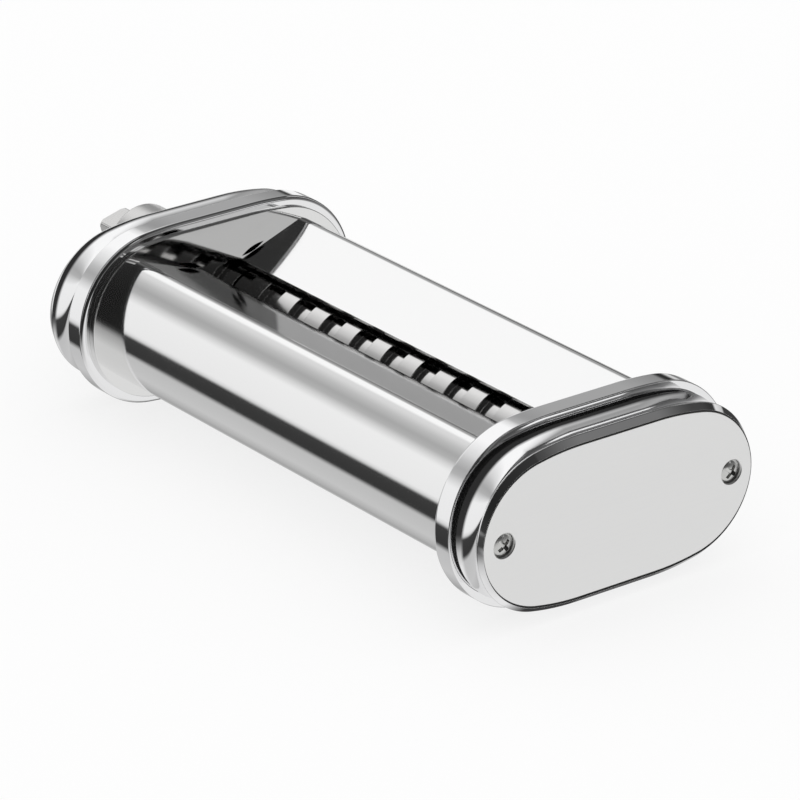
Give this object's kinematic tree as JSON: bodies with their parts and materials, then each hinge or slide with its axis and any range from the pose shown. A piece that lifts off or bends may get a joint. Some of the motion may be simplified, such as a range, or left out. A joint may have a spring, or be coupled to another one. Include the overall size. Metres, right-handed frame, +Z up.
{
  "type": "mixer-driven pasta cutter roller",
  "caption": "Pasta cutter attachment: two meshing disc rollers between chromed oval end caps under a V feed trough, driven by a square tang.",
  "frame": {"origin": "on the resting surface, under the middle of the overall box", "axes": "+X along the rollers towards the plain end with the inlaid plate, -Y towards the front cover, +Z up"},
  "size_m": [0.2476, 0.102, 0.057],
  "materials": {
    "polished_chrome": "mirror polished",
    "polished_steel": "polished stainless sheet",
    "satin_steel": "turned and ground",
    "plate_steel": "fine satin",
    "screw_steel": "bright zinc",
    "bronze": "sintered",
    "gear_steel": "greased, cut teeth",
    "black_seal": "matt black",
    "dark_comb": "moulded"
  },
  "bodies": {
    "frame": {"drive_flange": "polished_chrome", "idle_flange": "polished_chrome", "drive_side_plate": "polished_steel", "idle_side_plate": "polished_steel", "gear_housing": "polished_chrome", "hub_boss": "satin_steel", "hub_bush": "bronze", "idle_cover": "polished_chrome", "drive_seal": "black_seal", "idle_seal": "black_seal", "end_plate": "plate_steel", "end_plate_screws": "screw_steel", "housing_screws": "screw_steel", "front_cover": "polished_steel", "rear_cover": "polished_steel", "front_comb": "dark_comb", "rear_comb": "dark_comb", "tie_rods": "satin_steel", "tie_rod_nuts": "screw_steel", "front_drive_bush": "bronze", "rear_drive_bush": "bronze", "front_idle_bush": "bronze", "rear_idle_bush": "bronze", "input_bush": "bronze"},
    "drive": {"input_shaft": "satin_steel", "input_pinion": "gear_steel", "input_ring": "screw_steel"},
    "rear_roller": {"rear_cutter_roller": "satin_steel", "rear_drive_gear": "gear_steel", "rear_sync_gear": "gear_steel", "rear_drive_ring": "screw_steel", "rear_idle_ring": "screw_steel"},
    "front_roller": {"front_cutter_roller": "satin_steel", "front_sync_gear": "gear_steel", "front_drive_ring": "screw_steel", "front_idle_ring": "screw_steel"}
  },
  "joints": [
    {"name": "rear_roller_spin", "type": "hinge", "parent": "frame", "child": "rear_roller", "pos_m": [0.0177, 0.0117, 0.0263], "axis": [1, 0, 0], "continuous": true},
    {"name": "front_roller_spin", "type": "hinge", "parent": "frame", "child": "front_roller", "pos_m": [0.0177, -0.0117, 0.0263], "axis": [1, 0, 0], "continuous": true},
    {"name": "drive_spin", "type": "hinge", "parent": "frame", "child": "drive", "pos_m": [-0.1, 0, 0.03469], "axis": [1, 0, 0], "continuous": true}
  ],
  "couplings": [
    {"joint": "front_roller_spin", "follows": "rear_roller_spin", "ratio": -1},
    {"joint": "drive_spin", "follows": "rear_roller_spin", "ratio": -1}
  ]
}
